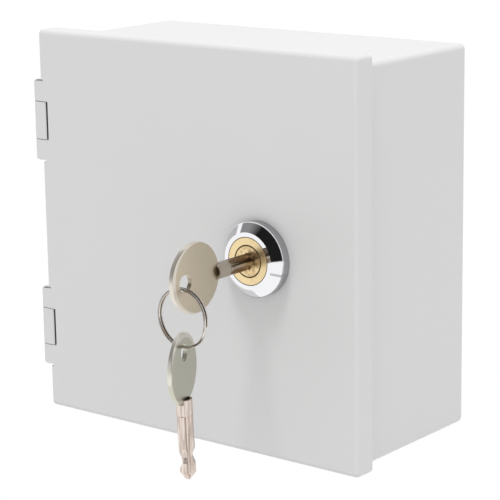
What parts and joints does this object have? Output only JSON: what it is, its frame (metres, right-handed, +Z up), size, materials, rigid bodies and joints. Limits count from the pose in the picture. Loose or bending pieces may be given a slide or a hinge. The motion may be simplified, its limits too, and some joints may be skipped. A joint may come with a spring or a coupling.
{
  "type": "weatherproof outlet box",
  "caption": "Small wall-mounted sheet-steel outlet box with a hinged, key-locked door, a key in the lock and a spare on a split ring, and a socket on a plate inside.",
  "frame": {"origin": "middle of the four wall-fixing holes, on the box's back face", "axes": "+X to the right and +Z up as the door is faced, +Y into the wall; the door's front faces -Y"},
  "size_m": [0.1541, 0.1274, 0.15],
  "materials": {
    "grey_powder_coat": "satin powder coat, very light grey",
    "plated_steel": "zinc plated",
    "galvanised_sheet": "galvanised sheet",
    "seal_foam": "closed-cell foam, matt black",
    "black_rubber": "matt black rubber",
    "bright_chrome": "polished chrome plating",
    "lock_brass": "turned brass, satin",
    "tumbler_brass": "turned brass",
    "key_nickel": "nickel plated brass, satin",
    "ring_steel": "nickel plated spring steel",
    "socket_plastic": "light grey thermoset plastic",
    "contact_brass": "stamped brass"
  },
  "bodies": {
    "box": {"body_shell": "grey_powder_coat", "upper_hinge_leaf": "grey_powder_coat", "lower_hinge_leaf": "grey_powder_coat", "cable_grommet_left": "black_rubber", "cable_grommet_right": "black_rubber", "earth_stud": "plated_steel", "earth_washer": "plated_steel", "earth_nut": "plated_steel", "plate_studs": "plated_steel", "mounting_plate": "galvanised_sheet", "plate_nuts": "plated_steel", "socket_base": "socket_plastic", "socket_cover": "socket_plastic", "socket_contacts": "contact_brass", "socket_earth_clip": "plated_steel", "socket_cover_screw": "plated_steel", "socket_base_screws": "plated_steel", "socket_base_nuts": "plated_steel"},
    "door": {"door_panel": "grey_powder_coat", "door_gasket": "seal_foam", "upper_hinge_pin": "plated_steel", "lower_hinge_pin": "plated_steel", "lock_housing": "bright_chrome", "lock_seal_washer": "black_rubber", "lock_tooth_washer": "plated_steel", "lock_nut": "plated_steel", "lock_barrel": "lock_brass", "driver_pins": "tumbler_brass", "driver_springs": "plated_steel"},
    "plug": {"lock_plug": "lock_brass", "tumbler_pins": "tumbler_brass", "lock_cam": "plated_steel", "cam_washer": "plated_steel", "cam_screw": "plated_steel"},
    "key": {"key_bow": "key_nickel", "key_shank": "key_nickel"},
    "ring": {"key_ring": "ring_steel"},
    "spare_key": {"spare_key_bow": "key_nickel", "spare_key_shank": "key_nickel"}
  },
  "joints": [
    {"name": "door_swing", "type": "hinge", "parent": "box", "child": "door", "pos_m": [-0.0767, -0.071, 0], "axis": [0, 0, -1], "range_deg": [0, 180]},
    {"name": "plug_turn", "type": "hinge", "parent": "door", "child": "plug", "pos_m": [0.03166, -0.0734, 0.0005], "axis": [0, -1, 0], "range_deg": [0, 90]},
    {"name": "key_slide", "type": "slide", "parent": "plug", "child": "key", "axis": [0, -1, 0], "range_m": [-0.0124, 0.013]},
    {"name": "ring_swing", "type": "hinge", "parent": "key", "child": "ring", "pos_m": [0.03166, -0.11497, -0.00235], "axis": [0, 1, 0], "range_deg": [-24.4, 15.6]},
    {"name": "spare_key_swing", "type": "hinge", "parent": "ring", "child": "spare_key", "pos_m": [0.03006, -0.11497, -0.02309], "axis": [1, 0, 0], "range_deg": [-45, 27]}
  ]
}
